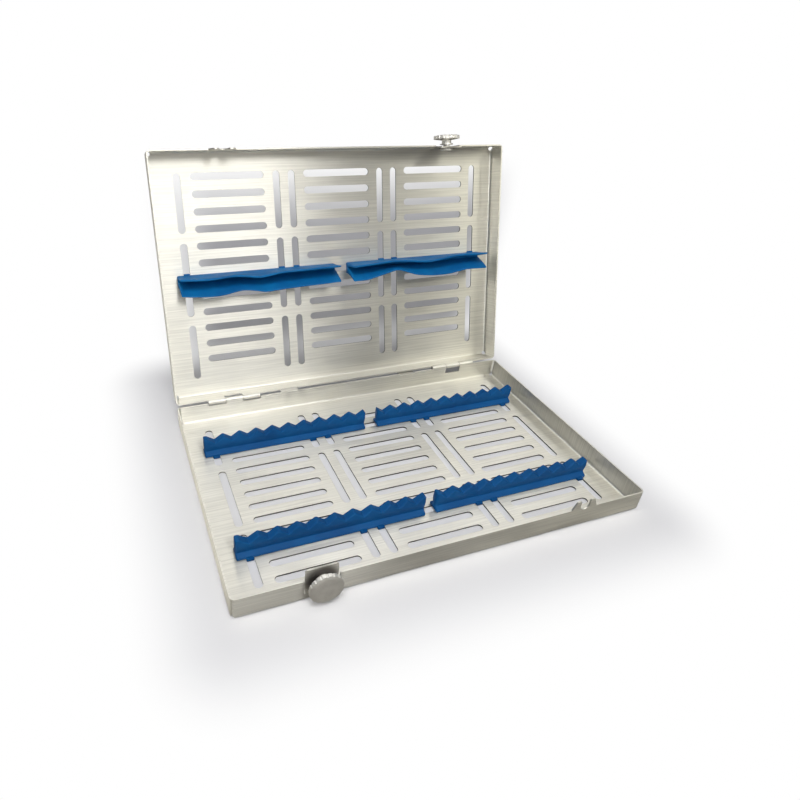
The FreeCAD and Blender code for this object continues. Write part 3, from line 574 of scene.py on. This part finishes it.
def plug(x, y_middle, length, top, place, first):
    """A round-edged plug in a slot."""
    corners = [(y_middle - length / 2, PLUG_BOTTOM), (y_middle + length / 2, PLUG_BOTTOM),
               (y_middle + length / 2, top), (y_middle - length / 2, top)]
    ends = [(-PLUG_HALF + inset, shrink) for inset, shrink in PLUG_ENDS]
    ends += [(PLUG_HALF - inset, shrink) for inset, shrink in reversed(PLUG_ENDS)]
    sections = [(x + offset, pulled_in(rounded(corners, PLUG_ROUNDING), shrink)) for offset, shrink in ends]
    return swept(sections, place, first)


def with_plugs(points, faces, side, y_middle, length, top, place):
    """Adds the three plugs of a rail or strip."""
    for reach in PLUG_X:
        more, added = plug(side * reach, y_middle, length, top, place, len(points))
        points += more
        faces += added


def soft_start(side):
    """Where a rail or strip starts, in mm, on the left (-1) or the right (1)."""
    return SOFT_START if side > 0 else -SOFT_START - SOFT_LENGTH


def groove_height(x):
    """Height of a rail's top at x mm from its end: V grooves with narrow crests."""
    x = min(max(x, 0.0), SOFT_LENGTH)
    total = 0.0
    for tap in range(BLUR_TAPS):
        at = (x + GROOVE_BLUR * (tap / (BLUR_TAPS - 1) - 0.5)) % ROW_PITCH
        distance = abs(at - ROW_PITCH / 2)
        total += GROOVE_DEPTH * (1 - min(distance / ((ROW_PITCH - GROOVE_LAND) / 2), 1.0))
    return HALF_HEIGHT - total / BLUR_TAPS


def rail(row_name, side_name, material):
    """One grooved rail with its foot and three plugs."""
    side = -1 if side_name == "left" else 1
    row_sign = -1 if row_name == "front" else 1
    start = soft_start(side)
    row = row_sign * RAIL_ROW
    before, after = RAIL_ENDS[row_name, side_name]
    radii = [radius for _, _, radius in RAIL_PROFILE] + [CREST_ROUNDING]
    widest, shoulder, _ = RAIL_PROFILE[-1]
    sections = []
    for step in range(RAIL_STEPS + 1):
        along = -before + (SOFT_LENGTH + before + after) * step / RAIL_STEPS
        top = groove_height(along)
        half = widest - CREST_TAPER * (top - SOFT_BASE - shoulder)
        right = [(out, SOFT_BASE + up) for out, up, _ in RAIL_PROFILE] + [(half, top)]
        corners = [(row + out, level) for out, level in right]
        corners += [(row - out, level) for out, level in reversed(right)]
        sway = SWAY * math.sin(along * SWAY_RATE + row_sign + side)
        outline = [np.array((y + sway * (z - SOFT_BASE) / SWAY_HEIGHT, z))
                   for y, z in rounded(corners, radii + radii[::-1])]
        shrink = end_shrink(along, -before, SOFT_LENGTH + after, RAIL_END_ROUNDING)
        sections.append((start + along, pulled_in(outline, shrink)))
    points, faces = swept(sections, on_tray)
    with_plugs(points, faces, side, row, RAIL_PLUG_LENGTH, SOFT_BASE + RAIL_PLUG_RISE, on_tray)
    thing = mesh_object(f"{row_name}_{side_name}_rail_moulding", points, faces, material)
    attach(thing, "tray")
    return thing


def along_curve(marks, x):
    """A smooth curve through marks."""
    xs, ys = zip(*marks)
    if x <= xs[0]:
        return ys[0]
    if x >= xs[-1]:
        return ys[-1]
    index = max(i for i in range(len(xs)) if xs[i] <= x)
    index = min(index, len(xs) - 2)

    def slope(i):
        low, high = max(i - 1, 0), min(i + 1, len(xs) - 1)
        return (ys[high] - ys[low]) / (xs[high] - xs[low])

    span = xs[index + 1] - xs[index]
    t = (x - xs[index]) / span
    return ((2 * t ** 3 - 3 * t ** 2 + 1) * ys[index] + (t ** 3 - 2 * t ** 2 + t) * span * slope(index)
            + (-2 * t ** 3 + 3 * t ** 2) * ys[index + 1] + (t ** 3 - t ** 2) * span * slope(index + 1))


def strip_outline(front, rear):
    """A strip's cross-section in mm: foot, front lip, valley, rear lip; front and rear are the lips' tips."""
    first = [(front + out, FRONT_TIP + up) for out, up in FRONT_CREST]
    valley = [(y, STRIP_ROOT + up) for y, up in VALLEY]
    second = [(rear + out, REAR_TIP + up) for out, up in REAR_CREST]
    outline = [(STRIP_FRONT + STRIP_BEVEL, SOFT_BASE), (STRIP_FRONT, SOFT_BASE + STRIP_BEVEL)]
    outline += bowed((STRIP_FRONT, STRIP_ROOT), first[0], FACE_BOWS[0])
    outline += first[1:3]
    outline += bowed(first[3], valley[0], FACE_BOWS[1])
    outline += valley[1:2]
    outline += bowed(valley[2], second[0], FACE_BOWS[2])
    outline += second[1:3]
    outline += bowed(second[3], (STRIP_REAR, STRIP_ROOT), FACE_BOWS[3])
    outline += [(STRIP_REAR, SOFT_BASE + STRIP_BEVEL), (STRIP_REAR - STRIP_BEVEL, SOFT_BASE)]
    return [np.array(point) for point in outline]


def strip(name, side_name, material):
    """A lid strip: a base on the panel and two thin lips that wave."""
    lips = LIPS[side_name]
    side = -1 if side_name == "left" else 1
    start = soft_start(side)
    before, after = STRIP_ENDS[side_name]
    sections = []
    for step in range(STRIP_STEPS + 1):
        along = -before + (SOFT_LENGTH + before + after) * step / STRIP_STEPS
        x = start + along
        outline = strip_outline(along_curve(lips["front"], x) - FRONT_LIP_AHEAD, along_curve(lips["rear"], x))
        shrink = end_shrink(along, -before, SOFT_LENGTH + after, STRIP_END_ROUNDING)
        sections.append((-x, pulled_in(outline, shrink)))
    points, faces = swept(sections, on_lid)
    with_plugs(points, faces, -side, 0.0, STRIP_PLUG_LENGTH, SOFT_BASE + STRIP_PLUG_RISE, on_lid)
    thing = mesh_object(name, points, faces, material)
    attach(thing, "lid")
    return thing


def repaint(node, material):
    for place in NODES[node].material_slots:
        place.material = material


def softbox(name, azimuth, elevation, distance, width, height, radiance, colour, glossy, diffuse):
    """A soft light of a given brightness."""
    turn, rise = math.radians(azimuth), math.radians(elevation)
    place = Vector((math.sin(turn) * math.cos(rise), -math.cos(turn) * math.cos(rise), math.sin(rise))) * distance
    data = bpy.data.lights.new(name, "AREA")
    data.shape = "RECTANGLE"
    data.size = width
    data.size_y = height
    data.energy = radiance * math.pi * width * height
    data.color = colour
    thing = bpy.data.objects.new(name, data)
    thing.location = place + Vector((0, 0, LIGHTS_AIM))
    thing.rotation_euler = (-place).to_track_quat("-Z", "Y").to_euler()
    thing.visible_glossy = glossy
    thing.visible_diffuse = diffuse
    bpy.context.collection.objects.link(thing)


place_camera()

# Steel pieces keep their solids
lid_up = Vector((0, -math.sin(OPEN_ANGLE), -math.cos(OPEN_ANGLE)))
repaint("tray_shell", steel("tray_steel", 0, 0, on_tray(*STUD)))
repaint("lid_shell", steel("lid_steel", OPEN_ANGLE, on_lid(0, 0, 0).dot(lid_up), on_lid(*STUD)))
turned = turned_steel("turned_steel", TURNED_ROUGHNESS)
knob_steel = turned_steel("knob_steel", KNOB_ROUGHNESS)
for node in ("left_hinge_pin", "right_hinge_pin", "tray_latch_stud", "lid_latch_stud", "tray_clamp_washer",
             "lid_clamp_washer"):
    repaint(node, turned)
for node in ("tray_thumb_knob", "lid_thumb_knob"):
    repaint(node, knob_steel)

# Soft pieces get finer meshes
rail_blue = silicone("rail_silicone", *RAIL_BLUES)
strip_blue = silicone("strip_silicone", *STRIP_BLUES)
for row_name in ("rear", "front"):
    for side_name in ("left", "right"):
        piece = rail(row_name, side_name, rail_blue)
        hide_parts(f"{row_name}_{side_name}_rail")
for side_name in ("left", "right"):
    piece = strip(f"lid_{side_name}_strip_moulding", side_name, strip_blue)
    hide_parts(f"lid_{side_name}_strip")

# Floor, lights and surroundings
floor = mesh_object("floor", [(-FLOOR_HALF, -FLOOR_HALF, 0), (FLOOR_HALF, -FLOOR_HALF, 0),
                              (FLOOR_HALF, FLOOR_HALF, 0), (-FLOOR_HALF, FLOOR_HALF, 0)],
                    [(0, 1, 2, 3)], floor_material(), smooth=False)
floor.location.z = -FLOOR_DROP
for light in LIGHTS:
    softbox(*light)
surroundings()
bpy.context.scene.view_settings.view_transform = "Standard"
